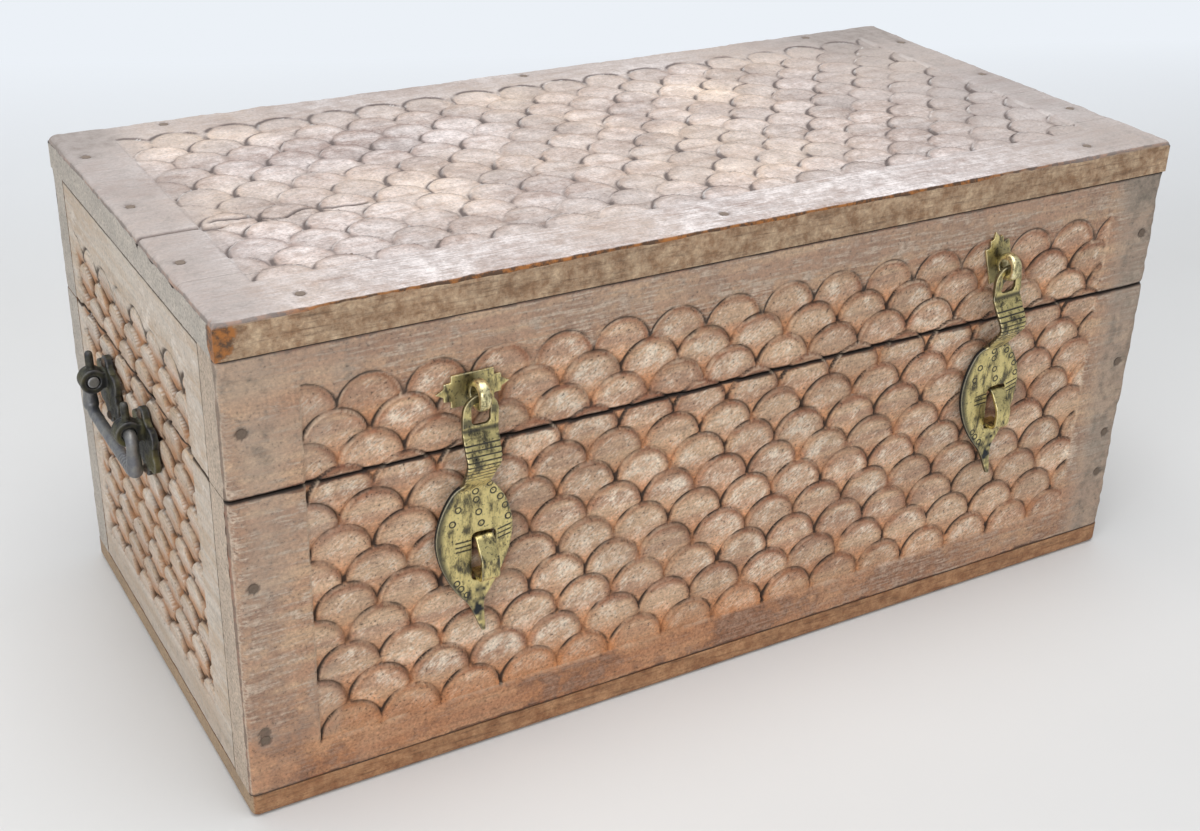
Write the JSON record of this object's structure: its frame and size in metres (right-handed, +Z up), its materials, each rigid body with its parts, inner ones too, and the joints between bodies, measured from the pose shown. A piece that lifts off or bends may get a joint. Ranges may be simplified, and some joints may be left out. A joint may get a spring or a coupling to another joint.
{
  "type": "keepsake box",
  "caption": "Carved hardwood keepsake box with a hinged lid, brass hasps over staples on the front and a swinging iron handle on each end.",
  "frame": {"origin": "middle of the underside of the bottom board", "axes": "+X to the right along the front, +Y from front to back, +Z up"},
  "size_m": [0.4862, 0.245, 0.217],
  "materials": {
    "front_wood": "oiled, worn, carved",
    "end_wood": "weathered, carved",
    "top_wood": "limed, worn, carved",
    "plain_wood": "oiled",
    "aged_brass": "aged, rubbed bright on the edges",
    "dark_iron": "dark patina",
    "forged_iron": "dark, slightly rusted"
  },
  "bodies": {
    "box": {"back_board": "plain_wood", "bottom_board": "plain_wood", "bottom_nails": "forged_iron", "front_board": "front_wood", "handle_bracket_left_front": "dark_iron", "handle_bracket_left_rear": "dark_iron", "handle_bracket_right_front": "dark_iron", "handle_bracket_right_rear": "dark_iron", "handle_nails": "forged_iron", "hinge_box_leaf_left": "dark_iron", "hinge_box_leaf_right": "dark_iron", "hinge_box_nails": "forged_iron", "hinge_pin_left": "dark_iron", "hinge_pin_right": "dark_iron", "left_end_board": "end_wood", "right_end_board": "end_wood", "staple_left": "aged_brass", "staple_right": "aged_brass", "wall_nails": "forged_iron"},
    "lid": {"hasp_plate_left": "aged_brass", "hasp_plate_right": "aged_brass", "hasp_ring_left": "aged_brass", "hasp_ring_right": "aged_brass", "hinge_lid_leaf_left": "dark_iron", "hinge_lid_leaf_right": "dark_iron", "hinge_lid_nails": "forged_iron", "lid_back_rail": "plain_wood", "lid_corner_nails": "forged_iron", "lid_front_rail": "front_wood", "lid_left_rail": "end_wood", "lid_right_rail": "end_wood", "top_back_plank": "top_wood", "top_front_strip": "top_wood", "top_middle_plank": "top_wood", "top_nails": "forged_iron"},
    "hasp_left": {"hasp_left": "aged_brass"},
    "hasp_right": {"hasp_right": "aged_brass"},
    "handle_left": {"handle_left": "dark_iron"},
    "handle_right": {"handle_right": "dark_iron"}
  },
  "joints": [
    {"name": "lid_hinge", "type": "hinge", "parent": "box", "child": "lid", "pos_m": [0, 0.1152, 0.14575], "axis": [-1, 0, 0], "range_deg": [0, 105]},
    {"name": "hasp_left_swing", "type": "hinge", "parent": "lid", "child": "hasp_left", "pos_m": [-0.1307, -0.1191, 0.171], "axis": [-1, 0, 0], "range_deg": [0, 150]},
    {"name": "hasp_right_swing", "type": "hinge", "parent": "lid", "child": "hasp_right", "pos_m": [0.1307, -0.1191, 0.1748], "axis": [-1, 0, 0], "range_deg": [0, 150]},
    {"name": "handle_left_swing", "type": "hinge", "parent": "box", "child": "handle_left", "pos_m": [-0.2375, 0.0145, 0.13], "axis": [0, 1, 0], "range_deg": [0, 150]},
    {"name": "handle_right_swing", "type": "hinge", "parent": "box", "child": "handle_right", "pos_m": [0.2375, 0.0145, 0.13], "axis": [0, -1, 0], "range_deg": [0, 150]}
  ]
}
